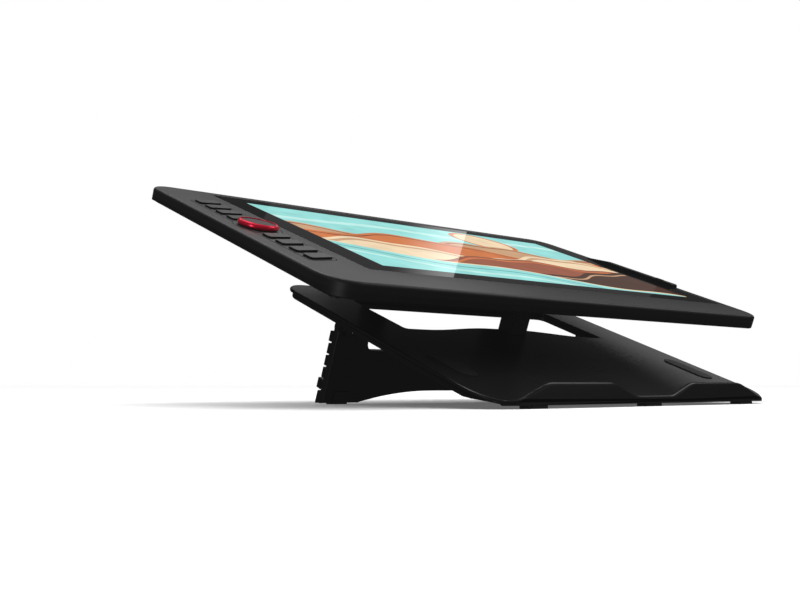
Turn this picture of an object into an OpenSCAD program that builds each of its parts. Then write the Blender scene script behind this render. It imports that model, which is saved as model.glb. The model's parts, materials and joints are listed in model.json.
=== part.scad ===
// Pen display on a folding desk stand. Millimetres, +Z up.
// The origin is on the desk, midway between the front feet, below the middle of the front lip.

/* [Screen and housing] */
// Width of the lit screen
screen_w = 344.2; // [330:0.1:360]
// Depth of the lit screen
screen_d = 193.6; // [185:0.1:205]
// Black border of the cover glass left and right of the screen
glass_side = 25; // [20:0.5:30]
// How far the lit screen sits left of the glass's middle
screen_left = 2.6; // [0:0.1:4]
// Black border of the cover glass in front of and behind the screen
glass_end = 17.2; // [15:0.1:22]
// Thickness of the cover glass
glass_t = 1; // [0.7:0.1:1.3]
// Band of housing left of the glass, which carries the keys
key_band = 52.4; // [50:0.1:64]
// Band of housing right of the glass
right_band = 12.6; // [12:0.1:20]
// Band of housing behind the glass
rear_band = 12.6; // [12:0.1:20]
// Band of housing in front of the glass
front_band = 38; // [30:0.5:48]
// Thickness of the housing
housing_t = 12.7; // [12.2:0.1:15]
// Corner radius of the housing seen from above
housing_r = 22; // [18:1:28]
// Rounding of the housing's upper edge
housing_top_round = 2.2; // [1:0.1:2.8]
// Height of the slanting band round the housing's underside
bevel_h = 2; // [1:0.1:2.4]
// Width of the slanting band round the housing's underside
bevel_w = 9; // [6:0.5:10]
// Extra height of that band along the two sides
side_rise = 1.5; // [0:0.1:1.6]
// Side wall of both housing shells
side_wall = 2; // [1.6:0.1:2.6]
// Upper wall of the top shell
top_wall = 2; // [1.8:0.1:2.4]
// Floor of the back shell
floor_t = 1.6; // [1.4:0.1:2]
// Height of the back shell
split_t = 6.6; // [6.4:0.1:7.2]

/* [Keys and dial] */
// Distance of the key column from the housing's left edge
key_inset = 26.6; // [25:0.1:29]
// Width of a key, across the column
key_w = 20.8; // [16:0.1:24]
// Length of a key, along the column
key_d = 11; // [9:0.1:13]
// Slant of a key's front and rear edges
key_slant = 21; // [0:1:26]
// Corner radius of a key
key_r = 1.6; // [0.6:0.1:3]
// Distance between neighbouring keys
key_pitch = 17.8; // [16.5:0.1:19]
// Distance of the first key from the dial's centre
key_first = 26.8; // [26:0.1:32]
// Height of a key above the housing
key_proud = 1.3; // [0.8:0.1:1.6]
// Travel of a key
key_travel = 0.6; // [0.3:0.05:0.8]
// Gap round a key in its hole
key_gap = 0.4; // [0.2:0.05:0.6]
// Outer diameter of the dial
dial_d = 29.2; // [24:0.2:30]
// Height of the dial above the housing
dial_h = 4.3; // [3.8:0.1:7]
// Diameter of the dial's shaft
dial_shaft_d = 6; // [4:0.5:8]
// Width of the engraved line round the keys
groove_w = 0.7; // [0.4:0.1:1]

/* [Connector bar] */
// Length of the raised bar on the right edge
bar_l = 107; // [80:1:130]
// Height of the bar above the housing
bar_h = 3; // [2:0.1:4]
// Width of the bar
bar_w = 8.6; // [7.6:0.1:8.8]
// Distance of the bar's middle behind the housing's middle
bar_shift = 6.5; // [-20:0.5:20]
// Length of the power button
power_l = 9; // [6:0.5:14]
// Travel of the power button
power_travel = 0.4; // [0.2:0.05:0.6]

/* [Stand plate] */
// Slope of the plate and of the tablet
tilt = 21.1; // [17:0.1:25]
// Width of the stand
stand_w = 306.4; // [296:0.2:330]
// Length of the plate along the slope
plate_l = 242; // [236:1:256]
// Thickness of the top shell
plate_t = 2.4; // [2:0.1:3]
// Height of the plate's upper face above the slope line through the origin
plate_top = 5.5; // [5:0.1:7]
// Corner radius of the plate at the back
plate_r = 22; // [12:1:30]
// Corner radius of the plate at the front
front_r = 26; // [14:1:28]
// Thickness of the under frame
frame_t = 4.6; // [3.6:0.1:5]
// How far the under frame is set back from the plate's edge
frame_inset = 2.8; // [1.6:0.1:3.4]
// Height of the shadow gap between plate and under frame
shadow_gap = 0.9; // [0.4:0.1:1.2]
// Width of the arms on both sides of the window
arm_w = 44.7; // [43.5:0.1:50]
// Front edge of the window, along the slope
window_front = 137; // [134:1:140]
// Width of the rail behind the window
rail_w = 35; // [30:1:38]
// Corner radius of the window at the back
window_r = 6; // [4:1:16]
// Corner radius of the window at the front
window_front_r = 3; // [1:0.5:8]
// How far the window's front edge swells backward in the middle
window_swell = 11.5; // [9:0.5:13]

/* [Front lip, feet and pads] */
// Overhang of the lip in front of the feet's middle line
lip_out = 6; // [5:0.5:8]
// Thickness of the lip
lip_t = 4.4; // [3.6:0.1:5]
// Height of the lip's two tabs above the desk
lip_h = 16; // [13:0.5:20]
// Height of the lip in its middle dip
lip_dip = 7.4; // [6.5:0.1:10]
// Half of the dip's width
dip_half = 16.5; // [12:0.5:26]
// Distance of the tabs' outer ends from the middle
tab_out = 100; // [92:1:106]
// Length of the sloping stretch on each side of the dip
lip_ramp = 31; // [22:1:36]
// Length of the sloping stretch outside each tab
end_ramp = 37; // [30:1:40]
// Height of the feet
foot_h = 2; // [1.5:0.1:2.4]
// Width of a front foot
foot_w = 17; // [12:0.5:24]
// Distance of the outer front feet from the middle
foot_x = 113.8; // [95:0.2:120]
// Width of a grip pad
pad_w = 15; // [8:0.5:20]
// Length of a grip pad
pad_l = 44; // [30:1:60]
// Distance of a grip pad from the plate's side edge
pad_inset = 24; // [18:0.5:28]
// Distance of the grip pads' middle along the slope
pad_s = 61; // [45:1:80]
// How far a grip pad stands proud of the plate
pad_proud = 0.7; // [0.3:0.1:1.2]

/* [Folding support] */
// Distance of the support's hinge line from the plate's back edge
hinge_back = 69; // [64:1:74]
// Depth of the hinge line below the under frame
hinge_drop = 5.2; // [4.6:0.1:8]
// Diameter of the hinge pin
pin_d = 4; // [3:0.5:5]
// Outer diameter of the hinge barrel
barrel_d = 7.6; // [7:0.1:8.6]
// Running clearance round the hinge pin
pin_gap = 0.05; // [0.02:0.01:0.1]
// Thickness of a hinge bracket's ear
ear_t = 4; // [3:0.5:5]
// Side gap between the support's barrel and the ears
ear_gap = 0.4; // [0.2:0.1:0.8]
// Thickness of the support panel
panel_t = 6; // [4:0.5:6.5]
// How far the support's legs stay inside the stand's width
leg_inset = 11.5; // [10:0.5:14]
// Distance of the finger gap's lower edge below the plate
gap_depth = 29; // [26:0.5:36]
// Corner radius of the finger gap
gap_r = 6; // [2:0.5:9]
// Height of the arch under the support
arch_h = 10.4; // [7:0.1:14]
// Height of a rear foot
rear_foot_h = 11; // [8:0.5:14]
// Width of a rear foot
rear_foot_w = 13; // [9:0.5:16]
// How far a rear foot stands proud of the panel
rear_foot_proud = 0.8; // [0.4:0.1:1.4]
// Number of teeth on each rack
teeth = 5; // [4:1:6]
// Width of a tooth rack
rack_w = 10; // [7:0.5:11]

/* [Riser] */
// Clear height between the plate and the tablet
riser_h = 34.3; // [28:0.1:42]
// Middle of the tablet along the slope
tablet_s = 205.4; // [196:0.2:214]
// Width of the front post
post_w = 19; // [16:0.5:26]
// Depth of the front post
post_d = 14; // [10:0.5:15]
// Thickness of the cradle
cradle_t = 3; // [2.4:0.1:4]
// Width of the cradle
cradle_w = 170; // [150:1:200]
// How far the cradle reaches behind the plate
cradle_over = 20; // [8:1:34]
// Thickness of the cradle's rubber pads
cradle_pad_t = 0.8; // [0.5:0.1:1.5]

/* [Hidden] */
$fn = 48;

// Colours
black_shell = [0.075, 0.078, 0.082];
dark_shell = [0.12, 0.122, 0.127];
grey_shell = [0.2, 0.203, 0.21];
soft_rubber = [0.05, 0.05, 0.052];
steel = [0.62, 0.63, 0.65];
dial_red = [0.62, 0.05, 0.09];
board_green = [0.06, 0.27, 0.16];

// Plan of the housing, measured from its own middle
glass_w = screen_w + 2 * glass_side;
glass_d = screen_d + 2 * glass_end;
tablet_w = key_band + glass_w + right_band;
tablet_d = front_band + glass_d + rear_band;
glass_x = (key_band - right_band) / 2;
glass_y = (front_band - rear_band) / 2;
glass_r = 3;
key_x = -tablet_w / 2 + key_inset;
bar_x = tablet_w / 2 - right_band + 1 + bar_w / 2;
round_steps = 5;
deep_inset = bevel_w - 2;

// Layers of the display, counted up from the housing's underside
gasket_t = 0.3;
lcd_t = 2;
light_t = 2.8;
sensor_t = 0.8;
shield_t = 0.6;
glass_z = housing_t - glass_t;
lcd_z = glass_z - lcd_t;
light_z = lcd_z - light_t;
sensor_z = light_z - sensor_t;
shield_z = sensor_z - shield_t;
ledge = 5;
lcd_border = 6;
screen_x = glass_x - screen_left;
lcd_w = screen_w + 2 * lcd_border;
lcd_d = screen_d + 2 * lcd_border;
light_border = 2.5;
open_w = glass_w - 2 * ledge;
open_d = glass_d - 2 * ledge;

// Keys, switches and boards
wall_z = housing_t - top_wall;
flange_gap = 0.3;
flange_t = 1;
flange_out = 0.9;
stop_gap = 0.1;
switch_z = wall_z - flange_gap - flange_t - key_travel - stop_gap;
switch_h = 2.5;
switch_w = 6;
board_t = 1.2;
key_board_z = switch_z - switch_h - board_t;
key_board_w = 42;
key_board_l = 2 * (key_first + 3 * key_pitch + key_d / 2 + 4);
slant_rise = tan(key_slant);
slant_long = 1 / cos(key_slant);
corner_steps = 4;
strip_gap = 3;
strip_r = 4;
strip_l = 2 * (key_first + 3 * key_pitch) + key_d + 2 * strip_gap;
button_lap = 0.2;
dial_gap = 0.3;
dial_rim = 2.3;
dial_recess = 1.1;
cap_t = 0.5;
cap_gap = 0.1;
encoder_w = 14;
encoder_top = wall_z - 0.4;
encoder_floor = 0.8;
shaft_gap = 0.05;
standoff_h = 1;
main_w = 110;
main_d = 100;
main_shift = 75;
port_board_w = 21;
port_board_l = bar_l - 23;
socket_w = 9;
socket_h = 3.2;
socket_l = 7.4;
socket_pitch = 26;
port_lift = 0.3;
port_board_t = 1;
rim_floor_z = bevel_h + floor_t;
port_board_z = rim_floor_z + port_lift;
port_board_x = tablet_w / 2 - side_wall - port_board_w / 2 - 0.4;
power_w = 3.6;
power_r = 1.2;
power_proud = 0.5;
power_y = bar_shift - port_board_l / 2 + power_l / 2 + 2;
post_rad = 3;
post_root = 1.2;
post_bite = 5;

// Housing screws
screw_inset = 12;
screw_r = 0.9;
screw_head_r = 2;
screw_head_h = 1;
screw_seat_h = 1.2;
screw_pad_h = 2.6;
screw_l = 6.2;
boss_r = 3;
back_foot_in = [38, 26];
back_foot_r = 6.8;
back_foot_bed = 0.4;
back_foot_proud = 0.8;
shield_post_in = [28, 22];
vent_w = 2.4;
vent_l = 24;
vent_pitch = 6.4;
vent_y = 46;

// Stand levels in the sloping frame
window_back = plate_l - rail_w;
swell_top = window_front + window_swell;
window_w = stand_w - 2 * arm_w;
plate_low = plate_top - plate_t;
frame_low = plate_low - frame_t;
half_w = stand_w / 2;
lip_in = lip_out - lip_t;
frame_edge = 5;
frame_window = 0.3;
swell_half = 92;
swell_flat = 15;
relief_in = 4;
relief_front = 8;
relief_w = 12;
relief_l = 21;
pocket_w = 0.42 * half_w;
pocket_l = 44;
pocket_start = 24;
pocket_step = 50;
pocket_roof = 1.2;
swell_steps = 16;
ramp_steps = 14;
ramp_ease = 0.28;
corner_lip = 5.2;
corner_rise = 3.5;
corner_slope = 0.167;
corner_reach = 40;
corner_deep = 10;
foot_margin = 3;
pad_bed = 0.8;
foot_d = 10;
foot_r = 2.4;

// Support, in the sloping frame
hinge_s = plate_l - hinge_back;
hinge_h = frame_low - hinge_drop;
desk_h = -hinge_s * tan(tilt);
leg_out = half_w - leg_inset;
cheek_t = 2.4;
barrel_l = 6;
ear_out_x = leg_out - cheek_t - ear_gap;
barrel_out = ear_out_x - ear_t - ear_gap;
barrel_in = barrel_out - barrel_l;
ear_in_x = barrel_in - ear_gap - ear_t;
leg_in = window_w / 2 + 3.5;
neck_in = barrel_in + 0.4;
neck_out = barrel_out - 0.4;
neck_h = hinge_h - barrel_d / 2 - 1.2;
gap_h = plate_top - gap_depth;
panel_front = hinge_s - panel_t / 2;
panel_back = hinge_s + panel_t / 2;
sole_lift = 1;
arch_flat = 40;
arch_steps = 12;
pin_over = 0.5;
below_desk = 12;
heel_w = 8;
heel_d = 3.8;
heel_h = 9;
rear_foot_x = leg_in + 14.5;
rack_base = 1.6;
rack_tooth = 2.6;
top_stop = 3.4;
low_stop = 5.6;
notch_h = 1.6;
notch_in = 4;
rack_top = neck_h;
rack_low = desk_h + heel_h;

// Riser, in the sloping frame
tablet_base = plate_top + riser_h;
cradle_top = tablet_base - cradle_pad_t;
cradle_low = cradle_top - cradle_t;
post_back = swell_top - 3.5;
post_s = post_back - post_d / 2;
post_screw_x = post_w / 2 - 4.5;
leg_w = 16;
leg_d = 18;
leg_x = cradle_w / 2 - 15;
rail_s = (window_back + plate_l) / 2 + 1;
cradle_front = post_s - post_d / 2 - 3;
cradle_back = plate_l + cradle_over;
cradle_slot_w = 44;
riser_screw_r = 1.5;
riser_head_r = 2.8;
riser_head_h = 1.6;
riser_screw_deep = 6;

// Points along an arc
function arc(c, r, a0, a1, n) =
    [for (i = [0:n]) let (a = a0 + (a1 - a0) * i / n) [c[0] + r * cos(a), c[1] + r * sin(a)]];

// Outline with upright sides, slanting ends and round corners
function slanted_outline(w, d, r) =
    let (a = w / 2 - r, rise = slant_rise * a, y = d / 2 - r * slant_long) concat(
        arc([-a, -y - rise], r, 180, 270 + key_slant, corner_steps),
        arc([a, rise - y], r, 270 + key_slant, 360, corner_steps),
        arc([a, y + rise], r, 0, 90 + key_slant, corner_steps),
        arc([-a, y - rise], r, 90 + key_slant, 180, corner_steps));

// Course of a ramp from 0 to 1 that starts and ends softly
function eased(u) = let (e = ramp_ease, k = 2 * e * (1 - e))
    u < e ? u * u / k : u > 1 - e ? 1 - (1 - u) * (1 - u) / k : (u - e / 2) / (1 - e);

function eased_step(x0, y0, x1, y1, n) =
    [for (i = [0:n]) let (u = i / n) [x0 + (x1 - x0) * u, y0 + (y1 - y0) * eased(u)]];

// Points of a soft step from one level to another
function soft_step(x0, y0, x1, y1, n) =
    [for (i = [0:n]) let (u = i / n) [x0 + (x1 - x0) * u, y0 + (y1 - y0) * (1 - cos(180 * u)) / 2]];

function flip_x(pts) = [for (i = [len(pts) - 1:-1:0]) [-pts[i][0], pts[i][1]]];

// Outer half of an edge profile, slanting below or rounded above
function rim_points(r, t, low, top) = concat(
    low > 0 ? [[r - bevel_w, 0], [r - 0.5, low - 0.3], [r, low + 0.3]] : [[r, 0]],
    top > 0 ? arc([r - top, t - top], top, 0, 90, round_steps) : [[r, t]]);

module on_slope() { rotate([tilt, 0, 0]) children(); }

module on_tablet() { on_slope() translate([0, tablet_s, tablet_base]) children(); }

module rounded_plan(w, d, r) {
    square([w - 2 * r, d], center = true);
    square([w, d - 2 * r], center = true);
    for (x = [-1, 1], y = [-1, 1])
        translate([x * (w / 2 - r), y * (d / 2 - r)]) circle(r);
}

module slot_plan(w, d) {
    square([w, d - w], center = true);
    for (y = [-1, 1]) translate([0, y * (d - w) / 2]) circle(w / 2);
}

module rounded_block(w, d, h, r) { linear_extrude(h) rounded_plan(w, d, r); }

// Flat slab with round corners, and a slanting edge below or a round edge above
module edge_slab(w, d, r, t, low, top) {
    for (x = [-1, 1], y = [-1, 1])
        translate([x * (w / 2 - r), y * (d / 2 - r), 0])
            rotate_extrude($fn = 72) polygon(concat([[0, 0]], rim_points(r, t, low, top), [[0, t]]));
    rotate([90, 0, 0]) linear_extrude(d - 2 * r, center = true)
        polygon(concat(rim_points(w / 2, t, low, top), flip_x(rim_points(w / 2, t, low, top))));
    rotate([90, 0, 90]) linear_extrude(w - 2 * r, center = true)
        polygon(concat(rim_points(d / 2, t, low, top), flip_x(rim_points(d / 2, t, low, top))));
}

// Places of the eight keys along the column, from back to front
key_places = concat([for (i = [3:-1:0]) key_first + i * key_pitch],
                    [for (i = [0:3]) -key_first - i * key_pitch]);

module at_keys() { for (y = key_places) translate([key_x, y, 0]) children(); }

// Plan of a key, larger all round by an amount
module key_plan(grow) {
    polygon(slanted_outline(key_w + 2 * grow, key_d + 2 * grow * slant_long, key_r + grow));
}

module key_strip_plan(grow) {
    translate([key_x, 0]) {
        polygon(slanted_outline(key_w + 2 * (strip_gap + grow), strip_l + 2 * grow * slant_long, strip_r + grow));
        circle(dial_d / 2 + strip_gap + grow, $fn = 72);
    }
}

module at_case_screws() {
    for (x = [-1, -1 / 3, 1 / 3, 1], y = [-1, 1])
        translate([x * (tablet_w / 2 - screw_inset), y * (tablet_d / 2 - screw_inset), 0]) children();
}

module at_back_feet() {
    for (x = [-1, 1], y = [-1, 1])
        translate([x * (tablet_w / 2 - back_foot_in[0]), y * (tablet_d / 2 - back_foot_in[1]), 0]) children();
}

module at_shield_posts() {
    for (x = [-1, 0, 1], y = [-1, 1])
        translate([glass_x + x * (lcd_w / 2 - shield_post_in[0]), glass_y + y * (lcd_d / 2 - shield_post_in[1]), 0])
            children();
}

module at_key_posts() {
    for (x = [-1, 1], y = [-1, 1])
        translate([key_x + x * (key_board_w / 2 - 4), y * (key_board_l / 2 - 4), 0]) children();
}

module at_main_posts() {
    for (x = [-1, 1], y = [-1, 1])
        translate([glass_x + main_shift + x * (main_w / 2 - 5), glass_y + y * (main_d / 2 - 5), 0]) children();
}

module at_port_posts() {
    for (y = [-1, 1]) translate([port_board_x, bar_shift + y * (port_board_l / 2 - 4), 0]) children();
}

module at_sockets() {
    for (y = [0, 1])
        translate([tablet_w / 2 - socket_l - 0.3, bar_shift + 4 + y * socket_pitch, port_board_z + port_board_t])
            children();
}

// Upper housing shell: rim, screen ledge, key field and screw bosses
module top_frame() color(grey_shell) on_tablet() difference() {
    union() {
        difference() {
            translate([0, 0, split_t])
                edge_slab(tablet_w, tablet_d, housing_r, housing_t - split_t, 0, housing_top_round);
            translate([0, 0, split_t - 1])
                rounded_block(tablet_w - 2 * side_wall, tablet_d - 2 * side_wall, wall_z - split_t + 1,
                              housing_r - side_wall);
        }
        at_case_screws() translate([0, 0, screw_pad_h]) cylinder(r = boss_r, h = wall_z - screw_pad_h + 0.5);
    }
    translate([glass_x, glass_y, glass_z - gasket_t]) rounded_block(glass_w, glass_d, 5, glass_r);
    translate([glass_x, glass_y, split_t]) rounded_block(open_w, open_d, housing_t, 2);
    at_keys() translate([0, 0, split_t]) linear_extrude(12) key_plan(key_gap);
    translate([key_x, 0, split_t]) cylinder(d = dial_shaft_d + 1, h = 12);
    translate([bar_x, power_y, split_t]) rounded_block(power_w + 2 * key_gap, power_l + 2 * key_gap, 12, 1.5);
    translate([0, 0, housing_t - 0.5]) linear_extrude(2) difference() {
        key_strip_plan(groove_w / 2);
        key_strip_plan(-groove_w / 2);
    }
    at_case_screws() translate([0, 0, screw_pad_h - 1]) cylinder(r = screw_r, h = screw_l);
    socket_cuts();
}

// Clearance round the two inlets, shared by both shells
module socket_cuts() {
    at_sockets() translate([0, -socket_w / 2 - 0.2, -0.2]) cube([20, socket_w + 0.4, socket_h + 0.4]);
}

// Steeper slant below the housing's two side walls
module side_slant() {
    top = bevel_h + side_rise;
    mirrored() translate([tablet_w / 2, 0, 0]) rotate([90, 0, 0]) linear_extrude(tablet_d + 2, center = true)
        polygon([[0.5 - bevel_w, 0], [0.5 - bevel_w, -2], [2, -2], [2, top], [0, top]]);
}

// Lower housing shell: floor, posts, vents, inlets and counterbores
module back_cover() color(dark_shell) on_tablet() difference() {
    union() {
        difference() {
            edge_slab(tablet_w, tablet_d, housing_r, split_t, bevel_h, 0);
            translate([0, 0, rim_floor_z])
                rounded_block(tablet_w - 2 * side_wall, tablet_d - 2 * side_wall, 10, housing_r - side_wall);
            translate([0, 0, floor_t])
                rounded_block(tablet_w - 2 * deep_inset, tablet_d - 2 * deep_inset, 10, housing_r - deep_inset);
        }
        at_case_screws() cylinder(r = boss_r + 1, h = screw_pad_h);
        at_shield_posts() cylinder(r = post_rad, h = shield_z);
        at_key_posts() translate([0, 0, post_root]) cylinder(r = post_rad, h = key_board_z - post_root);
        at_main_posts() cylinder(r = post_rad, h = floor_t + standoff_h);
        at_port_posts() cylinder(r = post_rad, h = port_board_z);
    }
    at_case_screws() {
        translate([0, 0, -1]) cylinder(r = screw_head_r + 0.2, h = 1 + screw_seat_h);
        cylinder(r = screw_r + 0.1, h = 10);
        translate([0, 0, screw_pad_h]) cylinder(r = boss_r + 0.2, h = 10);
    }
    at_back_feet() translate([0, 0, -1]) cylinder(r = back_foot_r + 0.2, h = 1 + back_foot_bed);
    socket_cuts();
    side_slant();
    for (g = [-1, 1], i = [-4:4])
        translate([glass_x + g * main_shift + i * vent_pitch, glass_y + vent_y, -1])
            linear_extrude(10) slot_plan(vent_w, vent_l);
}

module cover_glass() color([0.03, 0.04, 0.05]) on_tablet()
    translate([glass_x, glass_y, glass_z]) rounded_block(glass_w - 0.3, glass_d - 0.3, glass_t, glass_r - 0.15);

module glass_gasket() color(soft_rubber) on_tablet()
    translate([glass_x, glass_y, glass_z - gasket_t]) linear_extrude(gasket_t) difference() {
        rounded_plan(glass_w - 0.6, glass_d - 0.6, glass_r - 0.3);
        rounded_plan(open_w, open_d, 2);
    }

module layer(w, d, t, z, r = 1) { translate([screen_x, glass_y, z]) rounded_block(w, d, t, r); }

module lcd_panel() color([0.2, 0.55, 0.6]) on_tablet() layer(lcd_w, lcd_d, lcd_t, lcd_z);

module backlight_tray() color(steel) on_tablet()
    layer(lcd_w + 2 * light_border, lcd_d + 2 * light_border, light_t, light_z);

module digitizer_board() color(board_green) on_tablet() layer(lcd_w, lcd_d, sensor_t, sensor_z);

module shield_plate() color(steel) on_tablet() layer(lcd_w, lcd_d, shield_t, shield_z);

// Main circuit board with its chips
module main_board() color(board_green) on_tablet() translate([glass_x + main_shift, glass_y, floor_t + standoff_h]) {
    rounded_block(main_w, main_d, board_t, 2);
    for (i = [-1, 0, 1]) translate([i * 30, -18, board_t]) rounded_block(14, 14, 0.8, 0.5);
    translate([-10, 24, board_t]) rounded_block(24, 10, 0.8, 0.5);
}

// Plug between the main board and the display stack
module display_connector() color([0.85, 0.82, 0.74]) on_tablet()
    translate([glass_x + main_shift + 34, glass_y + 30, floor_t + standoff_h + board_t])
        rounded_block(22, 6, shield_z - floor_t - standoff_h - board_t, 0.6);

module port_board() color(board_green) on_tablet()
    translate([port_board_x, bar_shift, port_board_z]) rounded_block(port_board_w, port_board_l, port_board_t, 1.5);

// Two oval inlets in the right side
module usb_sockets() color(steel) on_tablet() at_sockets()
    translate([0, 0, socket_h / 2]) rotate([90, 0, 90]) linear_extrude(socket_l) difference() {
        rounded_plan(socket_w, socket_h, socket_h / 2 - 0.01);
        rounded_plan(socket_w - 0.8, socket_h - 0.8, socket_h / 2 - 0.41);
    }

power_switch_z = wall_z - flange_gap - flange_t - power_travel - stop_gap;

module power_switch() color([0.15, 0.15, 0.16]) on_tablet()
    translate([bar_x, power_y, port_board_z + port_board_t])
        rounded_block(4, 4, power_switch_z - port_board_z - port_board_t, 0.5);

module key_board() color(board_green) on_tablet()
    translate([key_x, 0, key_board_z]) rounded_block(key_board_w, key_board_l, board_t, 2);

module key_switches() color([0.15, 0.15, 0.16]) on_tablet()
    at_keys() translate([0, 0, switch_z - switch_h]) rounded_block(switch_w, switch_w, switch_h, 0.8);

// Button with a retaining flange under the housing's upper wall
module button(top) {
    foot = wall_z - flange_gap;
    translate([0, 0, foot - button_lap]) linear_extrude(top - foot + button_lap) children(0);
    translate([0, 0, foot - flange_t]) linear_extrude(flange_t) children(1);
}

module key(i) color(grey_shell) on_tablet() translate([key_x, key_places[i - 1], 0])
    button(housing_t + key_proud) {
        key_plan(0);
        key_plan(flange_out);
    }

// Encoder body with the bore for the dial's shaft
module dial_encoder() color([0.2, 0.2, 0.22]) on_tablet()
    translate([key_x, 0, key_board_z + board_t]) difference() {
        rounded_block(encoder_w, encoder_w, encoder_top - key_board_z - board_t, 1);
        translate([0, 0, encoder_floor]) cylinder(d = dial_shaft_d + 2 * shaft_gap, h = 12);
    }

// Side of the dial from the bottom up: how far inside the full radius, and at what share of the height
dial_side = [[1.6, 0], [0.7, 0.1], [0.2, 0.25], [0, 0.42], [0.1, 0.6], [0.4, 0.76], [0.8, 0.88], [1.5, 1]];
dial_rise = dial_h - dial_gap;
dial_floor = housing_t + dial_h - dial_recess;

// Red dial: swelling side, chamfered rim, recess for the cap, and the shaft
module dial_ring() color(dial_red) on_tablet() translate([key_x, 0, 0]) difference() {
    union() {
        translate([0, 0, housing_t + dial_gap]) rotate_extrude($fn = 96)
            polygon(concat([[0, 0]], [for (p = dial_side) [dial_d / 2 - p[0], dial_rise * p[1]]], [[0, dial_rise]]));
        translate([0, 0, key_board_z + board_t + encoder_floor + 0.3])
            cylinder(d = dial_shaft_d, h = housing_t - key_board_z);
    }
    translate([0, 0, dial_floor]) cylinder(r = dial_d / 2 - dial_rim, h = 5, $fn = 96);
}

module dial_cap() color(dark_shell) on_tablet() translate([key_x, 0, dial_floor])
    cylinder(r = dial_d / 2 - dial_rim - cap_gap, h = cap_t, $fn = 96);

// Raised bar on the right edge, with a long taper at the back end
module port_bar() color(dark_shell) on_tablet() difference() {
    translate([bar_x - bar_w / 2, bar_shift, housing_t]) rotate([90, 0, 90]) linear_extrude(bar_w)
        polygon(concat([[-bar_l / 2, 0]], arc([-bar_l / 2 + 2, bar_h - 2], 2, 180, 90, round_steps),
                       [[bar_l / 2 - 24, bar_h], [bar_l / 2, 0.4], [bar_l / 2, 0]]));
    translate([bar_x, power_y, housing_t - 1]) rounded_block(power_w + 2 * key_gap, power_l + 2 * key_gap, 12, 1.5);
}

module power_button() color(grey_shell) on_tablet() translate([bar_x, power_y, 0])
    button(housing_t + bar_h + power_proud) {
        rounded_plan(power_w, power_l, power_r);
        rounded_plan(power_w + 2 * flange_out, power_l + 2 * flange_out, power_r);
    }

module case_screws() color(steel) on_tablet() at_case_screws() {
    translate([0, 0, screw_seat_h - screw_head_h]) cylinder(r = screw_head_r, h = screw_head_h);
    translate([0, 0, screw_seat_h - 0.1]) cylinder(r = screw_r, h = screw_l - 1);
}

module back_feet() color(soft_rubber) on_tablet()
    at_back_feet() translate([0, 0, -back_foot_proud]) cylinder(r = back_foot_r, h = back_foot_proud + back_foot_bed);

// Outline of the stand seen from above, with round front corners
module stand_plan(inset, front) {
    r = front_r - inset;
    translate([-half_w + inset, -front + r]) square([stand_w - 2 * inset, 300]);
    translate([-half_w + inset + r, -front]) square([stand_w - 2 * inset - 2 * r, 300]);
    for (x = [-1, 1]) translate([x * (half_w - inset - r), -front + r]) circle(r);
}

// Outline of the plate in its own plane, with round back corners
module plate_plan(inset) {
    r = plate_r - inset;
    translate([-half_w + inset, -30]) square([stand_w - 2 * inset, plate_l - inset - r + 30]);
    translate([-half_w + inset + r, -30]) square([stand_w - 2 * inset - 2 * r, plate_l - inset + 30]);
    for (x = [-1, 1]) translate([x * (half_w - inset - r), plate_l - inset - r]) circle(r);
}

module window_box(grow) {
    w = window_w + 2 * grow;
    translate([-w / 2, window_front - grow + window_front_r]) square([w, window_r + 10]);
    translate([-w / 2 + window_front_r, window_front - grow]) square([w - 2 * window_front_r, window_r + 10]);
    for (x = [-1, 1])
        translate([x * (w / 2 - window_front_r), window_front - grow + window_front_r]) circle(window_front_r);
    translate([0, (window_front + window_back) / 2 + 5])
        rounded_plan(w, window_back - window_front - 10 + 2 * grow, window_r);
}

// Window in the plate, with a front edge that swells backward in the middle
module window_plan(grow) {
    difference() {
        window_box(grow);
        polygon(concat([[-swell_half, 0], [-swell_half, window_front - grow]],
                       soft_step(-swell_half, window_front - grow, -swell_flat, swell_top - grow, swell_steps),
                       soft_step(swell_flat, swell_top - grow, swell_half, window_front - grow, swell_steps),
                       [[swell_half, 0]]));
    }
}

module above_desk(h) { translate([-400, -200, h]) cube([800, 700, 400]); }

// Upper edge of the lip, right half, from the middle outward
lip_half = concat(
    eased_step(dip_half, lip_dip, dip_half + lip_ramp, lip_h, ramp_steps),
    eased_step(tab_out, lip_h, tab_out + end_ramp, corner_lip, ramp_steps),
    [[half_w, corner_lip], [half_w, foot_h]]);

module lip_wave(depth) {
    translate([0, depth - lip_out, 0]) rotate([90, 0, 0]) linear_extrude(depth)
        polygon(concat(lip_half, flip_x(lip_half)));
}

// Height of the plate's upper face above the desk at a distance behind the feet
function plate_z(y) = (plate_top + y * sin(tilt)) / cos(tilt);

lip_fillet = 5;

module lip_section() {
    k = [-lip_in, plate_z(-lip_in)];
    back = k + lip_fillet * [cos(tilt), sin(tilt)];
    polygon([[-lip_out, foot_h], [-lip_in, foot_h], [-lip_in, k[1] - 1], back - [0, 1], back,
             k + lip_fillet * [0.42 * cos(tilt), 0.42 * sin(tilt) + 0.12], k + lip_fillet * [0.12, 0.46],
             k + lip_fillet * [0, 1], [-lip_in, lip_h + 1], [-lip_out, lip_h + 1]]);
}

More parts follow.
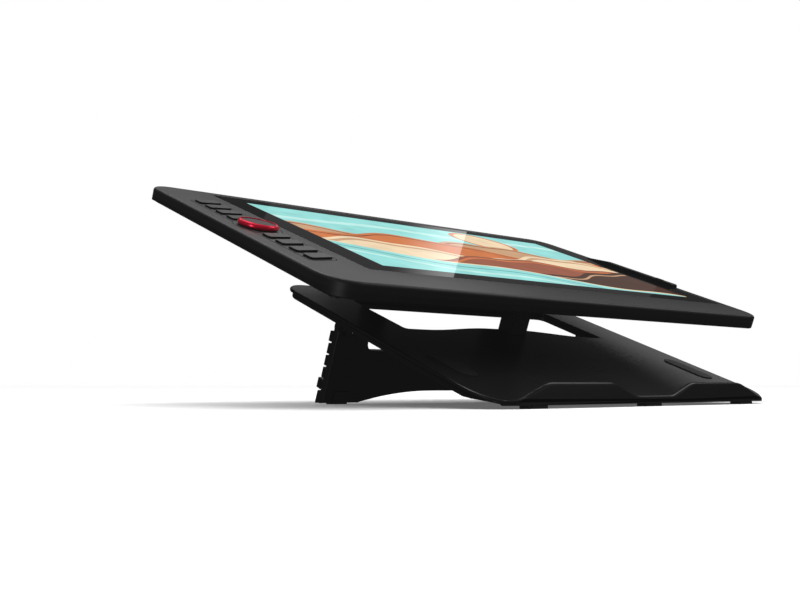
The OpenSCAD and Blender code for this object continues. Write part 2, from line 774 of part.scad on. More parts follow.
// Sloping top shell with the window and the wavy front lip
module rest_plate() color(black_shell) difference() {
    intersection() {
        union() {
            on_slope() translate([0, 0, plate_low]) linear_extrude(plate_t) plate_plan(0);
            intersection() {
                rotate([90, 0, 90]) linear_extrude(stand_w, center = true) lip_section();
                lip_wave(lip_out + 12);
            }
        }
        translate([0, 0, foot_h]) linear_extrude(300) stand_plan(0, lip_out);
    }
    on_slope() translate([0, 0, -20]) linear_extrude(60) window_plan(0);
    for (x = [-1, 1]) on_slope() translate([x * (half_w - pad_inset), pad_s, plate_top - pad_bed])
        linear_extrude(10) slot_plan(pad_w, pad_l);
    at_riser_screws() translate([0, 0, -20]) cylinder(r = riser_screw_r + 0.1, h = 40);
}

// Rise of the under frame towards its front corners, outside the outer feet
module corner_relief() {
    from = foot_x + foot_w / 2 + foot_margin;
    y_end = corner_reach;
    below = -corner_deep;
    mirrored() translate([from, 0, 0]) rotate([90, 0, 90]) linear_extrude(half_w - from + 1)
        polygon([[below, below], [y_end, below],
                 [y_end, corner_rise + corner_slope * y_end], [0, corner_rise], [below, corner_rise]]);
}

// Set-back of the under frame below the window's front corners
module window_relief() {
    mirrored() translate([window_w / 2 - relief_in, window_front - relief_front, frame_low - 1])
        cube([relief_w, relief_l, frame_t + 1]);
}

// Lower shell: a rim behind the shadow gap, ribs, and the landing of the plate
module under_frame() color(dark_shell) difference() {
    intersection() {
        on_slope() difference() {
            union() {
                translate([0, 0, frame_low]) linear_extrude(frame_t - shadow_gap) plate_plan(frame_inset);
                translate([0, 0, frame_low]) linear_extrude(frame_t) plate_plan(frame_edge);
            }
            translate([0, 0, frame_low - 10]) linear_extrude(40) window_plan(frame_window);
            window_relief();
            for (x = [-1, 1], i = [0, 1])
                translate([x * half_w / 4 - pocket_w / 2, pocket_start + i * pocket_step, frame_low - 10])
                    cube([pocket_w, pocket_l, frame_t + 10 - pocket_roof]);
        }
        translate([0, 0, foot_h]) linear_extrude(300) stand_plan(frame_inset, lip_in);
    }
    corner_relief();
    at_riser_screws() {
        translate([0, 0, -20]) cylinder(r = riser_screw_r + 0.1, h = 40);
        translate([0, 0, frame_low - 20]) cylinder(r = riser_head_r + 0.2, h = 20 + riser_head_h);
    }
}

module grip_pad(side) color(soft_rubber) on_slope()
    translate([side * (half_w - pad_inset), pad_s, plate_top - pad_bed])
        linear_extrude(pad_bed + pad_proud) slot_plan(pad_w - 0.2, pad_l - 0.2);

module left_grip_pad() { grip_pad(-1); }

module right_grip_pad() { grip_pad(1); }

module front_feet() color(soft_rubber)
    for (x = [-foot_x, 0, foot_x])
        translate([x, foot_d / 2 - lip_out + 0.4, 0]) rounded_block(foot_w, foot_d, foot_h, foot_r);

module hinge_ear(x) {
    translate([x, hinge_s, hinge_h]) rotate([0, 90, 0]) difference() {
        union() {
            cylinder(d = barrel_d, h = ear_t);
            translate([-hinge_drop, -barrel_d / 2, 0]) cube([hinge_drop, barrel_d, ear_t]);
        }
        translate([0, 0, -1]) cylinder(d = pin_d + 0.04, h = ear_t + 2);
    }
}

module mirrored() {
    children();
    mirror([1, 0, 0]) children();
}

module hinge_brackets() color(dark_shell) on_slope() mirrored() {
    hinge_ear(ear_in_x);
    hinge_ear(ear_out_x - ear_t);
}

module hinge_pins() color(steel) on_slope() mirrored()
    translate([ear_in_x - pin_over, hinge_s, hinge_h]) rotate([0, 90, 0])
        cylinder(d = pin_d, h = ear_out_x - ear_in_x + pin_over);

// Height of the desk in the panel's own plane, raised by a vertical amount
function above_desk_h(z) = desk_h + z / cos(tilt);

arch_foot = leg_in + 1;

module support_plan() {
    arch = [for (i = [0:arch_steps]) let (u = i / arch_steps)
        [arch_flat + (arch_foot - arch_flat) * u, above_desk_h(arch_h - (arch_h - sole_lift) * u * u)]];
    outline = concat(arch, [[leg_out, above_desk_h(sole_lift)], [leg_out, neck_h], [neck_out, neck_h],
                            [neck_out, hinge_h], [neck_in, hinge_h], [neck_in, neck_h], [leg_in, neck_h]],
                     arc([leg_in - gap_r, gap_h + gap_r], gap_r, 0, -90, round_steps));
    polygon(concat(outline, flip_x(outline)));
}

// Thicker end of a leg at the desk
module leg_heel() {
    translate([leg_out - heel_w, panel_back - 1, desk_h - below_desk]) cube([heel_w, heel_d + 1, heel_h + below_desk]);
}

// Outer cheek of a leg, which hides the hinge
module leg_cheek() {
    translate([leg_out - cheek_t, 0, 0]) rotate([90, 0, 90]) linear_extrude(cheek_t) {
        translate([hinge_s, hinge_h]) circle(d = barrel_d);
        translate([panel_front, neck_h - 1]) square([panel_t, hinge_h - neck_h + 1]);
    }
}

module rear_foot_block(grow) {
    translate([rear_foot_x - rear_foot_w / 2, panel_front - rear_foot_proud - grow, desk_h - below_desk])
        cube([rear_foot_w, panel_t + 2 * (rear_foot_proud + grow), rear_foot_h + below_desk]);
}

// Folding support: legs, cross panel, heels, cheeks and hinge barrels
module support_frame() color(black_shell) intersection() {
    on_slope() mirrored_cut() {
        union() {
            translate([0, panel_back, 0]) rotate([90, 0, 0]) linear_extrude(panel_t) support_plan();
            mirrored() {
                leg_heel();
                leg_cheek();
                translate([barrel_in, hinge_s, hinge_h]) rotate([0, 90, 0])
                    cylinder(d = barrel_d, h = barrel_out - barrel_in);
            }
        }
        union() {
            rear_foot_block(20);
            translate([barrel_in - 1, hinge_s, hinge_h]) rotate([0, 90, 0])
                cylinder(d = pin_d + 2 * pin_gap, h = barrel_out - barrel_in + 2);
        }
    }
    above_desk(sole_lift);
}

// First child less the second child and its mirror image
module mirrored_cut() {
    difference() {
        children(0);
        mirrored() children(1);
    }
}

tooth_pitch = (rack_top - rack_low) / teeth;

// Depth of a tooth, counted from the top; the end ones are stops
function tooth_deep(i) = i == 0 ? top_stop : i == teeth - 1 ? low_stop : rack_tooth;

module tooth_rack() {
    translate([leg_out - rack_w, panel_back, rack_low]) cube([rack_w - notch_in, rack_base, rack_top - rack_low]);
    for (i = [0:teeth - 1])
        translate([leg_out - rack_w, panel_back, rack_top - (i + 1) * tooth_pitch + notch_h])
            cube([rack_w, tooth_deep(i), tooth_pitch - notch_h]);
}

// Toothed strip on the back of a leg
module left_tooth_rack() color(dark_shell) difference() {
    on_slope() mirror([1, 0, 0]) tooth_rack();
    on_slope() mirror([1, 0, 0]) rear_foot_block(0.2);
}

module right_tooth_rack() color(dark_shell) difference() {
    on_slope() tooth_rack();
    on_slope() rear_foot_block(0.2);
}

module rear_feet() color(soft_rubber) intersection() {
    on_slope() mirrored() rear_foot_block(0);
    above_desk(0);
}

module at_riser_screws() {
    on_slope() {
        for (x = [-1, 1]) translate([x * post_screw_x, post_s, 0]) children();
        for (x = [-1, 1], d = [-1, 1]) translate([x * leg_x + d * 4, rail_s, 0]) children();
    }
}

// Front post of the riser, screwed on from below
module riser_post() color(black_shell) difference() {
    on_slope() translate([0, post_s, plate_top]) rounded_block(post_w, post_d, cradle_low - plate_top, 1.5);
    at_riser_screws() cylinder(r = riser_screw_r, h = plate_top + riser_screw_deep);
}

module riser_rear_legs() color(black_shell) difference() {
    on_slope() mirrored() translate([leg_x, rail_s, plate_top])
        rounded_block(leg_w, leg_d, cradle_low - plate_top, 1.5);
    at_riser_screws() cylinder(r = riser_screw_r, h = plate_top + riser_screw_deep);
}

// Flat cradle with three lightening slots
module cradle_plate() color(dark_shell) on_slope() translate([0, (cradle_front + cradle_back) / 2, cradle_low])
    linear_extrude(cradle_t) difference() {
        rounded_plan(cradle_w, cradle_back - cradle_front, 8);
        for (x = [-1, 0, 1]) translate([x * cradle_slot_w, -4]) rounded_plan(cradle_slot_w - 14, 40, 6);
    }

module cradle_pads() color(soft_rubber) on_slope()
    for (x = [-1, 1], s = [cradle_front + 14, cradle_back - 14])
        translate([x * (cradle_w / 2 - 26), s, cradle_top]) rounded_block(36, 14, cradle_pad_t, 3);

module riser_screws() color(steel) at_riser_screws() {
    translate([0, 0, frame_low]) cylinder(r = riser_head_r, h = riser_head_h);
    translate([0, 0, frame_low + riser_head_h - 0.1])
        cylinder(r = riser_screw_r, h = plate_top + riser_screw_deep - frame_low - riser_head_h - 0.4);
}

rest_plate();
under_frame();
left_grip_pad();
right_grip_pad();
front_feet();
hinge_brackets();
hinge_pins();
riser_post();
riser_rear_legs();
cradle_plate();
cradle_pads();
riser_screws();
support_frame();
left_tooth_rack();
right_tooth_rack();
rear_feet();
top_frame();
back_cover();
cover_glass();
glass_gasket();
lcd_panel();
backlight_tray();
digitizer_board();
shield_plate();
main_board();
display_connector();
port_board();
usb_sockets();
power_switch();
key_board();
key_switches();
dial_encoder();
dial_ring();
dial_cap();
port_bar();
power_button();
case_screws();
back_feet();
for (i = [1:8]) key(i);
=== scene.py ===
"""Looks of the pen display on its folding stand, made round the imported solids. Metres, +Z up."""
import json
import math

import bmesh
import bpy
from mathutils import Matrix, Vector


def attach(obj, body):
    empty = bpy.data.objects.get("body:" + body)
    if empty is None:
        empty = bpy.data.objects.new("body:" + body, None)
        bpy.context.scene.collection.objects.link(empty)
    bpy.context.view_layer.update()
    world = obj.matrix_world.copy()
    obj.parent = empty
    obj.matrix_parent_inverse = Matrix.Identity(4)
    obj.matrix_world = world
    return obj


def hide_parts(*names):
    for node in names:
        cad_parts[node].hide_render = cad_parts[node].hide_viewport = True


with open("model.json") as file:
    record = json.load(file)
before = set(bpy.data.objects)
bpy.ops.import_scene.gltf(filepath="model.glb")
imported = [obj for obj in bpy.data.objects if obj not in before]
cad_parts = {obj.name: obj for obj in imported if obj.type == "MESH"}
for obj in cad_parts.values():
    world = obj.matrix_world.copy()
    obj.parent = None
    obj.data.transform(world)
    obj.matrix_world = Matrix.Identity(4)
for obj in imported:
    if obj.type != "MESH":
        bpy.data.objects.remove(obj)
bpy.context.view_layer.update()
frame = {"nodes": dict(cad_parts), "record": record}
nodes = frame["nodes"]
scene = bpy.context.scene

# Places shared with the solids
TILT = math.radians(21.1)
TABLET_S = 0.2054
TABLET_BASE = 0.0398
HOUSING_T = 0.0127
HOUSING_D = 0.2786
SCREEN_W = 0.3442
SCREEN_D = 0.1936
SCREEN_X = 0.01735
SCREEN_Y = 0.01165
TABLET = Matrix.Rotation(TILT, 4, "X") @ Matrix.Translation((0, TABLET_S, TABLET_BASE))

# Camera fitted to the photograph
CAMERA_PLACE = Vector((-0.52133, -0.37679, 0.01391))
CAMERA_FORWARD = Vector((0.62703, 0.77345, 0.09279))
CAMERA_LENS = 41.18
SENSOR_WIDTH = 36.0
NEAR_CLIP = 0.01
FAR_CLIP = 200.0


def add_camera():
    data = bpy.data.cameras.new("camera")
    data.lens = CAMERA_LENS
    data.sensor_width = SENSOR_WIDTH
    data.clip_start = NEAR_CLIP
    data.clip_end = FAR_CLIP
    camera = bpy.data.objects.new("camera", data)
    camera.location = CAMERA_PLACE
    camera.rotation_euler = CAMERA_FORWARD.to_track_quat("-Z", "Y").to_euler()
    scene.collection.objects.link(camera)
    scene.camera = camera


# Materials
NOISE_LOW = 0.3
NOISE_HIGH = 0.7
NOISE_DETAIL = 3.0
GRAIN_DETAIL = 2.0
COLOUR_SCALE = 14.0
COLOUR_SPREAD = 0.06
GLOSS_SCALE = 12.0
GLOSS_SPREAD = 0.03

# Scale, depth and strength of a grain
FINE_GRAIN = (2600.0, 0.00002, 0.2)
DIAL_GRAIN = (1500.0, 0.00001, 0.1)
GLASS_GRAIN = (900.0, 0.000002, 0.01)

# Where a surface counts as a side, which gets painted shade, and as a top, by how far it faces up from
# the tablet
SIDE_FACING = 0.3
TOP_FACING = 0.95

# Band of the housing in front of the glass, which gets a painted sheen: its depth, its outer edge, and
# where it starts at the left
FRONT_BAND = 0.038
BAND_EDGE = 0.008
BAND_START = -0.2
BAND_FULL = -0.15

# Gloss of a key's sides and top, lowered on the sides as painted shade, and of the front band near the
# glass and at its edge, set by place as a painted sheen
KEY_PAINTED_SHADE_GLOSS = (0.05, 0.75)
BAND_PAINTED_SHEEN_GLOSS = (0.12, 0.5)


def new_material(name):
    mat = bpy.data.materials.new(name)
    mat.use_nodes = True
    tree = mat.node_tree
    return mat, tree, tree.nodes["Principled BSDF"]


def noise_node(tree, scale, detail=NOISE_DETAIL):
    coords = tree.nodes.new("ShaderNodeTexCoord")
    noise = tree.nodes.new("ShaderNodeTexNoise")
    noise.inputs["Scale"].default_value = scale
    noise.inputs["Detail"].default_value = detail
    tree.links.new(coords.outputs["Object"], noise.inputs["Vector"])
    return noise


def range_node(tree, start, end, low, high):
    """Turns values from start to end into values from low to high."""
    node = tree.nodes.new("ShaderNodeMapRange")
    node.inputs["From Min"].default_value = start
    node.inputs["From Max"].default_value = end
    node.inputs["To Min"].default_value = low
    node.inputs["To Max"].default_value = high
    return node


def vary_colour(tree, shader, colour, spread, scale, socket="Base Color"):
    """Colour that drifts a little lighter and darker over the surface."""
    ramp = tree.nodes.new("ShaderNodeValToRGB")
    low = [c * (1 - spread) for c in colour]
    high = [c * (1 + spread) for c in colour]
    ramp.color_ramp.elements[0].position = NOISE_LOW
    ramp.color_ramp.elements[1].position = NOISE_HIGH
    ramp.color_ramp.elements[0].color = (*low, 1)
    ramp.color_ramp.elements[1].color = (*high, 1)
    tree.links.new(noise_node(tree, scale).outputs["Fac"], ramp.inputs["Fac"])
    tree.links.new(ramp.outputs["Color"], shader.inputs[socket])


def vary_roughness(tree, shader, low, high, scale):
    spread = range_node(tree, NOISE_LOW, NOISE_HIGH, low, high)
    tree.links.new(noise_node(tree, scale).outputs["Fac"], spread.inputs["Value"])
    tree.links.new(spread.outputs["Result"], shader.inputs["Roughness"])


def add_grain(tree, shader, scale, depth, strength):
    bump = tree.nodes.new("ShaderNodeBump")
    bump.inputs["Distance"].default_value = depth
    bump.inputs["Strength"].default_value = strength
    tree.links.new(noise_node(tree, scale, GRAIN_DETAIL).outputs["Fac"], bump.inputs["Height"])
    tree.links.new(bump.outputs["Normal"], shader.inputs["Normal"])


def surface(name, colour, rough, grain=FINE_GRAIN, metallic=0.0, specular=0.5):
    """Moulded or metal surface with a fine grain and a slight drift of colour and gloss."""
    mat, tree, shader = new_material(name)
    vary_colour(tree, shader, colour, COLOUR_SPREAD, COLOUR_SCALE)
    vary_roughness(tree, shader, (1 - GLOSS_SPREAD) * rough, (1 + GLOSS_SPREAD) * rough, GLOSS_SCALE)
    add_grain(tree, shader, *grain)
    shader.inputs["Metallic"].default_value = metallic
    shader.inputs["Specular IOR Level"].default_value = specular
    return mat


def dot_node(tree, vector, direction):
    """How far a vector points along a direction."""
    node = tree.nodes.new("ShaderNodeVectorMath")
    node.operation = "DOT_PRODUCT"
    node.inputs[1].default_value = direction
    tree.links.new(vector, node.inputs[0])
    return node


def drive_gloss(tree, level):
    tree.links.new(level.outputs["Result"], tree.nodes["Principled BSDF"].inputs["Specular IOR Level"])


def paint_shade_on_sides(mat, low, high):
    """Painted shade: takes the gloss off what does not face up from the tablet, so the flanks of a
    sunken key look dark as if in shadow.
    """
    tree = mat.node_tree
    place = tree.nodes.new("ShaderNodeNewGeometry")
    facing = dot_node(tree, place.outputs["Normal"], TABLET.to_3x3().col[2])
    level = range_node(tree, SIDE_FACING, TOP_FACING, low, high)
    tree.links.new(facing.outputs["Value"], level.inputs["Value"])
    drive_gloss(tree, level)


def paint_sheen_on_front_band(mat, near_glass, at_edge):
    """Painted sheen: gloss of the housing set by place, which grows towards the outer edge of the band
    in front of the glass.
    """
    tree = mat.node_tree
    place = tree.nodes.new("ShaderNodeTexCoord")
    along = dot_node(tree, place.outputs["Object"], TABLET.to_3x3().col[1])
    across = tree.nodes.new("ShaderNodeSeparateXYZ")
    tree.links.new(place.outputs["Object"], across.inputs["Vector"])
    front = TABLET_S - HOUSING_D / 2
    edge = range_node(tree, front + BAND_EDGE, front + FRONT_BAND, at_edge, near_glass)
    tree.links.new(along.outputs["Value"], edge.inputs["Value"])
    side = range_node(tree, BAND_START, BAND_FULL, at_edge, near_glass)
    tree.links.new(across.outputs["X"], side.inputs["Value"])
    tree.links.new(edge.outputs["Result"], side.inputs["To Max"])
    drive_gloss(tree, side)


# Colour and roughness of each surface, and what sets it apart
SURFACES = {
    "shell_black": dict(colour=(0.0045, 0.0045, 0.0047), rough=0.27),
    "frame_black": dict(colour=(0.003, 0.003, 0.0032), rough=0.42),
    "rubber": dict(colour=(0.006, 0.006, 0.0062), rough=0.34),
    "steel": dict(colour=(0.55, 0.56, 0.58), rough=0.3, metallic=1.0),
    "housing_grey": dict(colour=(0.011, 0.011, 0.0115), rough=0.4),
    "housing_black": dict(colour=(0.005, 0.005, 0.0052), rough=0.4),
    "key_grey": dict(colour=(0.012, 0.012, 0.0125), rough=0.36),
    "cover_glass": dict(colour=(0.004, 0.0041, 0.0044), rough=0.035, grain=GLASS_GRAIN, specular=0.3),
    "screen": dict(colour=(0.2, 0.55, 0.58), rough=0.3),
    "board": dict(colour=(0.03, 0.15, 0.08), rough=0.35),
    "part_black": dict(colour=(0.02, 0.02, 0.022), rough=0.5),
    "dial_red": dict(colour=(0.85, 0.006, 0.045), rough=0.24, grain=DIAL_GRAIN, metallic=0.55),
    "dial_dark": dict(colour=(0.03, 0.012, 0.014), rough=0.5),
}

MATERIALS = {name: surface(name, **look) for name, look in SURFACES.items()}
# Painted shade: the sides of the keys lose their gloss by the way they face
paint_shade_on_sides(MATERIALS["key_grey"], *KEY_PAINTED_SHADE_GLOSS)
# Painted sheen: the housing's gloss is set by place on its front band
paint_sheen_on_front_band(MATERIALS["housing_grey"], *BAND_PAINTED_SHEEN_GLOSS)


def dress_nodes():
    slots = {part["node"]: part["material_slot"] for part in frame["record"]["subparts"]}
    for name, obj in nodes.items():
        obj.data.materials.clear()
        obj.data.materials.append(MATERIALS[slots[name]])


# Rounded edges: how sharp they are, and what stays sharp
WELD_STEP = 0.000001
ROUND_STEPS = 3
FLAT_ANGLE = math.radians(0.5)
SHARP_ANGLE = math.radians(32)
KNIFE_ANGLE = math.radians(120)

# The lip's rear, lower edge and end, the front corners' depth, and the place of the grip pads
LIP_BACK = -0.0012
LIP_LOW = 0.003
LIP_END = 0.1186
CORNER_BACK = 0.014
PAD_IN = 0.122
PAD_OUT = 0.15
PAD_BACK = 0.15

# Node, the body it rides on, how far its edges are rounded, and how far those on the lip are
ROUNDED = [
    ("rest_plate", "stand", 0.0011, 0.002),
    ("under_frame", "stand", 0.001, 0.001),
    ("riser_post", "stand", 0.0008, 0.0008),
    ("support_frame", "support_leg", 0.001, 0.001),
]


def on_lip(vert):
    return vert.co.y < LIP_BACK


def beside_lip(vert):
    return vert.co.y < CORNER_BACK and abs(vert.co.x) > LIP_END


def by_pad(vert):
    return PAD_IN < abs(vert.co.x) < PAD_OUT and CORNER_BACK < vert.co.y < PAD_BACK


def clear_lip(work):
    """Takes the seams out of the lip's flat faces."""
    verts = [v for v in work.verts if on_lip(v)]
    edges = [e for e in work.edges if all(on_lip(v) for v in e.verts)]
    bmesh.ops.dissolve_limit(work, angle_limit=FLAT_ANGLE, verts=verts, edges=edges)


def lip_share(edge, share):
    """How far an edge is rounded: fully on top of the lip, not at all under it and round the pads."""
    if all(by_pad(v) for v in edge.verts):
        return 0.0
    if not edge.is_convex and any(beside_lip(v) for v in edge.verts):
        return 0.0
    if not all(on_lip(v) for v in edge.verts):
        return share
    if all(v.co.z < LIP_LOW for v in edge.verts):
        return 0.0
    return 1.0 if all(abs(v.co.x) < LIP_END for v in edge.verts) else share


def weigh_edges(work, share):
    """Marks the sharp edges with how far they are rounded."""
    weight = work.edges.layers.float.new("bevel_weight_edge")
    for edge in work.edges:
        if edge.is_manifold and SHARP_ANGLE < edge.calc_face_angle() < KNIFE_ANGLE:
            edge[weight] = lip_share(edge, share)


def welded_copy(mesh, name, share):
    """A joined copy of a mesh, without the seams between its faces."""
    work = bmesh.new()
    work.from_mesh(mesh)
    bmesh.ops.remove_doubles(work, verts=work.verts, dist=WELD_STEP)
    if share < 1:
        clear_lip(work)
    weigh_edges(work, share)
    copy = bpy.data.meshes.new(name)
    work.to_mesh(copy)
    work.free()
    if "custom_normal" in copy.attributes:
        copy.attributes.remove(copy.attributes["custom_normal"])
    for mat in mesh.materials:
        copy.materials.append(mat)
    copy.shade_smooth()
    copy.set_sharp_from_angle(angle=SHARP_ANGLE)
    return copy


def round_edges(node, body, width, lip_width):
    """A copy of a solid with rounded edges, which stands for it."""
    name = node + "_rounded"
    piece = bpy.data.objects.new(name, welded_copy(nodes[node].data, name, width / lip_width))
    scene.collection.objects.link(piece)
    bevel = piece.modifiers.new("round", "BEVEL")
    bevel.width = lip_width
    bevel.segments = ROUND_STEPS
    bevel.limit_method = "WEIGHT"
    bevel.use_clamp_overlap = False
    bevel.harden_normals = True
    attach(piece, body)
    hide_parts(node)


# Picture on the screen: dunes between a lake and the sky, with a low sun
PICTURE_LIFT = 0.00004
PICTURE_STEPS = 150
PICTURE_FINE = 0.000002
TURQUOISE = (0.29, 0.70, 0.67)
DEEP_TURQUOISE = (0.10, 0.40, 0.41)
PALE_TURQUOISE = (0.50, 0.83, 0.78)
CREAM = (0.85, 0.66, 0.43)
TAN = (0.56, 0.33, 0.18)
ORANGE = (0.60, 0.17, 0.045)
RUST = (0.30, 0.085, 0.04)
BROWN = (0.06, 0.02, 0.01)
INK_SPREAD = 0.1
INK_SCALE = 45.0
INK_ROUGHNESS = (0.03, 0.04)
INK_GLOSS_SCALE = 30.0
INK_BASE = (0.01, 0.01, 0.01, 1)


def lit_ink(name, colour):
    """Colour that the screen gives off, with a slight drift, under a glossy cover."""
    mat, tree, shader = new_material(name)
    vary_colour(tree, shader, colour, INK_SPREAD, INK_SCALE, "Emission Color")
    vary_roughness(tree, shader, *INK_ROUGHNESS, INK_GLOSS_SCALE)
    shader.inputs["Base Color"].default_value = INK_BASE
    shader.inputs["Emission Strength"].default_value = 1.0
    return mat


def crest(height, slope, *waves):
    """Skyline over the screen's width in metres; each wave is a size, a length and a shift."""
    def at(x):
        rises = (size * math.sin(2 * math.pi * (x / length + shift)) for size, length, shift in waves)
        return height + slope * x + sum(rises)
    return at


def under(line):
    """Everything in front of a skyline."""
    return lambda x: (-SCREEN_D, line(x))


def stripe(line, drop, width):
    """Band that follows a skyline a little in front of it."""
    return lambda x: (line(x) - drop - width, line(x) - drop)


def disc(centre_x, centre_y, radius):
    def span(x):
        half = math.sqrt(max(radius ** 2 - (x - centre_x) ** 2, 0))
        return centre_y - half, centre_y + half
    return span


FAR_RIDGE = crest(0.026, 0.04, (0.013, 0.21, 0.1), (0.004, 0.08, 0.3))
ORANGE_DUNE = crest(0.012, -0.05, (0.017, 0.26, 0.45), (0.004, 0.095, 0.1))
CREAM_DUNE = crest(-0.008, 0.08, (0.015, 0.23, 0.8), (0.003, 0.07, 0.2))
RUST_DUNE = crest(-0.03, 0.14, (0.013, 0.28, 0.2), (0.004, 0.09, 0.6))
BROWN_DUNE = crest(-0.058, 0.16, (0.011, 0.24, 0.6), (0.003, 0.075, 0.9))
SHORE = crest(-0.066, -0.2, (0.007, 0.17, 0.3))
CLOUD = crest(0.066, 0.03, (0.005, 0.19, 0.55))
SUN = (0.062, 0.06)
SUN_R = 0.029
GLOW_R = 0.034

# Name, colour and the span that each layer fills, the later over the earlier
PICTURE = [
    ("sky", TURQUOISE, lambda x: (-SCREEN_D, SCREEN_D)),
    ("cloud", PALE_TURQUOISE, stripe(CLOUD, 0, 0.011)),
    ("sun_glow", ORANGE, disc(*SUN, GLOW_R)),
    ("sun", CREAM, disc(*SUN, SUN_R)),
    ("far_ridge", TAN, under(FAR_RIDGE)),
    ("far_shade", RUST, stripe(FAR_RIDGE, 0.005, 0.004)),
    ("orange_dune", ORANGE, under(ORANGE_DUNE)),
    ("orange_shade", BROWN, stripe(ORANGE_DUNE, 0.006, 0.002)),
    ("cream_dune", CREAM, under(CREAM_DUNE)),
    ("cream_shade", TAN, stripe(CREAM_DUNE, 0.006, 0.006)),
    ("rust_dune", RUST, under(RUST_DUNE)),
    ("rust_shade", ORANGE, stripe(RUST_DUNE, 0.005, 0.004)),
    ("brown_dune", BROWN, under(BROWN_DUNE)),
    ("brown_shade", TAN, stripe(BROWN_DUNE, 0.007, 0.003)),
    ("lake", TURQUOISE, under(SHORE)),
    ("shore", CREAM, stripe(SHORE, 0, 0.003)),
    ("ripple", DEEP_TURQUOISE, stripe(SHORE, 0.013, 0.003)),
    ("far_ripple", PALE_TURQUOISE, stripe(SHORE, 0.026, 0.006)),
]


def bands_at(x):
    """What shows along one line from front to rear: the layers in order, and the edges between them."""
    spans = [span(x) for name, colour, span in PICTURE]
    half = SCREEN_D / 2
    edges = sorted({min(max(y, -half), half) for span in spans for y in span})
    layers = []
    rims = [edges[0]]
    for low, high in zip(edges, edges[1:]):
        middle = (low + high) / 2
        layer = max(i for i, (start, end) in enumerate(spans) if start < middle < end)
        if layers and layers[-1] == layer:
            rims[-1] = high
        else:
            layers.append(layer)
            rims.append(high)
    return layers, rims


def split_column(a, b):
    """Cuts a column where its layers change, so that each part has the same ones throughout."""
    if bands_at(a)[0] == bands_at(b)[0] or b - a < PICTURE_FINE:
        return [(a, b)]
    middle = (a + b) / 2
    return split_column(a, middle) + split_column(middle, b)


def picture_quads():
    xs = [SCREEN_W * (i / PICTURE_STEPS - 0.5) for i in range(PICTURE_STEPS + 1)]
    for start, end in zip(xs, xs[1:]):
        for a, b in split_column(start, end):
            layers, rims_a = bands_at(a)
            other, rims_b = bands_at(b)
            if layers != other:
                continue
            for i, layer in enumerate(layers):
                yield layer, [(a, rims_a[i]), (b, rims_b[i]), (b, rims_b[i + 1]), (a, rims_a[i + 1])]


def add_picture():
    """One thin sheet on the glass, with a material for each layer."""
    mesh = bpy.data.meshes.new("screen_picture")
    verts = []
    faces = []
    slots = []
    lift = HOUSING_T + PICTURE_LIFT
    for layer, quad in picture_quads():
        faces.append(range(len(verts), len(verts) + len(quad)))
        slots.append(layer)
        verts.extend(TABLET @ Vector((SCREEN_X + x, SCREEN_Y + y, lift)) for x, y in quad)
    mesh.from_pydata(verts, [], faces)
    mesh.polygons.foreach_set("material_index", slots)
    for name, colour, span in PICTURE:
        mesh.materials.append(lit_ink("ink_" + name, colour))
    picture = bpy.data.objects.new("screen_picture", mesh)
    scene.collection.objects.link(picture)
    picture.modifiers.new("join", "WELD").merge_threshold = PICTURE_FINE
    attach(picture, "tablet")


# Stage
FLOOR_HALF = 40.0
FLOOR_COLOUR = (0.9, 0.9, 0.9)
FLOOR_SPREAD = 0.002
FLOOR_SCALE = 2.0
FLOOR_ROUGHNESS = 0.9
FLOOR_GLOW = 0.12


def add_floor():
    """Pale floor, which does not light the object from below and lets the low light through."""
    mesh = bpy.data.meshes.new("floor")
    corners = [(x * FLOOR_HALF, y * FLOOR_HALF, 0) for x, y in ((-1, -1), (1, -1), (1, 1), (-1, 1))]
    mesh.from_pydata(corners, [], [(0, 1, 2, 3)])
    floor = bpy.data.objects.new("floor", mesh)
    scene.collection.objects.link(floor)
    mat, tree, shader = new_material("floor")
    vary_colour(tree, shader, FLOOR_COLOUR, FLOOR_SPREAD, FLOOR_SCALE)
    shader.inputs["Roughness"].default_value = FLOOR_ROUGHNESS
    shader.inputs["Specular IOR Level"].default_value = 0.0
    shader.inputs["Emission Color"].default_value = (1, 1, 1, 1)
    shader.inputs["Emission Strength"].default_value = FLOOR_GLOW
    mesh.materials.append(mat)
    floor.visible_diffuse = False
    floor.visible_glossy = False
    floor.visible_shadow = False


# Light
AMBIENT = 0.03
BLACK_LIFT = 0.0043
OVERHEAD_ENERGY = 2.9
OVERHEAD_SPREAD = math.radians(110)
WALL_Y = 2.2
STREAK_LEAN = math.radians(16)
AIM = Vector((0, 0.1, 0.06))

# What a light falls on
ALL = None
GLASS = ["cover_glass", "screen_picture", "top_frame"]
DIAL = ["dial_ring", "dial_cap"]
STAND = ["rest_plate_rounded"]

# Panels behind the object: left, right, low and high side, brightness, way ahead of the wall, and lean
PANELS = [
    ("rear_panel", -0.5, 2.8, 1.85, 2.6, 1.32, 0.0, 0.0, ALL),
    ("rear_fill", 1.15, 3.6, 0.9, 1.55, 0.045, 0.0, 0.0, ALL),
    ("upper_fill", 1.2, 2.9, 1.55, 1.85, 0.3, 0.0, 0.0, ALL),
    ("right_panel", 2.9, 5.5, 1.66, 2.85, 0.36, 0.0, 0.0, ALL),
    ("stand_panel", 2.9, 5.5, 1.66, 2.85, 0.2, 0.1, 0.0, STAND),
    ("lip_panel", 0.8, 1.4, 1.0, 1.7, 0.3, 0.1, 0.0, STAND),
    ("streak_panel", 1.735, 2.085, 0.9, 1.75, 0.55, 0.05, STREAK_LEAN, GLASS),
]

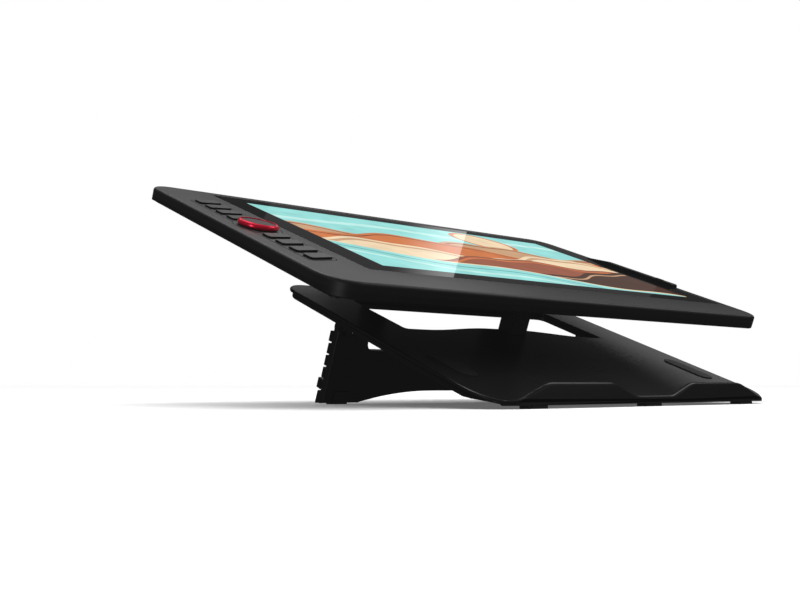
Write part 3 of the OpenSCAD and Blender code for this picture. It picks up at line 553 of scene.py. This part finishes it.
# Soft boxes in the room: place, width, height and brightness
BOXES = [
    ("left_box", (-1.5, -0.56, 0.5), 0.7, 0.9, 0.4, ALL),
    ("top_box", (1.3, -0.3, 1.5), 1.0, 1.0, 1.5, ALL),
    ("high_box", (0.1, 0.55, 1.8), 1.0, 1.0, 2.8, ALL),
    ("front_box", (1.1, -1.3, 0.35), 0.8, 0.5, 0.42, ALL),
    ("low_box", (-0.95, -0.72, -0.45), 0.4, 0.4, 1.6, ALL),
    ("dial_box", (-1.4, -0.4, 0.2), 0.25, 0.6, 7.0, DIAL),
]


def keep_to(light, names):
    """Lets a light fall on some objects only."""
    lit = bpy.data.collections.new(light.name + "_lit")
    for name in names:
        lit.objects.link(scene.objects[name])
    light.light_linking.receiver_collection = lit


def add_area(name, width, height, radiance, place, turn, lit):
    """Soft light, equally bright at any size."""
    data = bpy.data.lights.new(name, "AREA")
    data.shape = "RECTANGLE"
    data.size = width
    data.size_y = height
    data.energy = radiance * math.pi * width * height
    light = bpy.data.objects.new(name, data)
    light.location = place
    light.rotation_euler = turn
    light.visible_camera = False
    scene.collection.objects.link(light)
    if lit:
        keep_to(light, lit)
    return light


def add_panel(name, left, right, low, high, radiance, ahead, lean, lit):
    """Soft light on a wall behind the object, facing it."""
    place = ((left + right) / 2, WALL_Y - ahead, (low + high) / 2)
    return add_area(name, right - left, high - low, radiance, place, (-math.pi / 2, lean, 0), lit)


def add_soft_box(name, place, width, height, radiance, lit):
    """Soft light anywhere in the room, turned to the object."""
    turn = (AIM - Vector(place)).to_track_quat("-Z", "Y").to_euler()
    add_area(name, width, height, radiance, place, turn, lit)


def fade_across(light):
    """Makes a panel fade from full at its right side to nothing at its left."""
    light.data.use_nodes = True
    tree = light.data.node_tree
    place = tree.nodes.new("ShaderNodeNewGeometry")
    split = tree.nodes.new("ShaderNodeSeparateXYZ")
    ramp = tree.nodes.new("ShaderNodeValToRGB")
    ramp.color_ramp.interpolation = "EASE"
    ramp.color_ramp.elements[0].color = (0, 0, 0, 1)
    ramp.color_ramp.elements[1].color = (1, 1, 1, 1)
    tree.links.new(place.outputs["Parametric"], split.inputs["Vector"])
    tree.links.new(split.outputs["X"], ramp.inputs["Fac"])
    tree.links.new(ramp.outputs["Color"], tree.nodes["Emission"].inputs["Color"])


def add_world():
    """White behind the object, and a dim even light on it."""
    world = bpy.data.worlds.new("studio")
    world.use_nodes = True
    tree = world.node_tree
    path = tree.nodes.new("ShaderNodeLightPath")
    level = range_node(tree, 0.0, 1.0, AMBIENT, 1.0)
    tree.links.new(path.outputs["Is Camera Ray"], level.inputs["Value"])
    background = tree.nodes["Background"]
    background.inputs["Color"].default_value = (1, 1, 1, 1)
    tree.links.new(level.outputs["Result"], background.inputs["Strength"])
    scene.world = world


def add_overhead():
    """Very soft light from above, which whitens the floor and leaves a soft shadow under the object."""
    data = bpy.data.lights.new("overhead", "SUN")
    data.energy = OVERHEAD_ENERGY
    data.angle = OVERHEAD_SPREAD
    light = bpy.data.objects.new("overhead", data)
    light.visible_glossy = False
    scene.collection.objects.link(light)


def add_lights():
    add_overhead()
    panels = {panel[0]: add_panel(*panel) for panel in PANELS}
    fade_across(panels["streak_panel"])
    for box in BOXES:
        add_soft_box(*box)


def lift_blacks():
    """The photograph's deepest black is a dark grey."""
    view = scene.view_settings
    view.view_transform = "Standard"
    view.use_curve_mapping = True
    view.curve_mapping.black_level = (-BLACK_LIFT,) * 3
    view.curve_mapping.update()


add_camera()
dress_nodes()
for rounding in ROUNDED:
    round_edges(*rounding)
add_picture()
add_floor()
add_world()
add_lights()
lift_blacks()
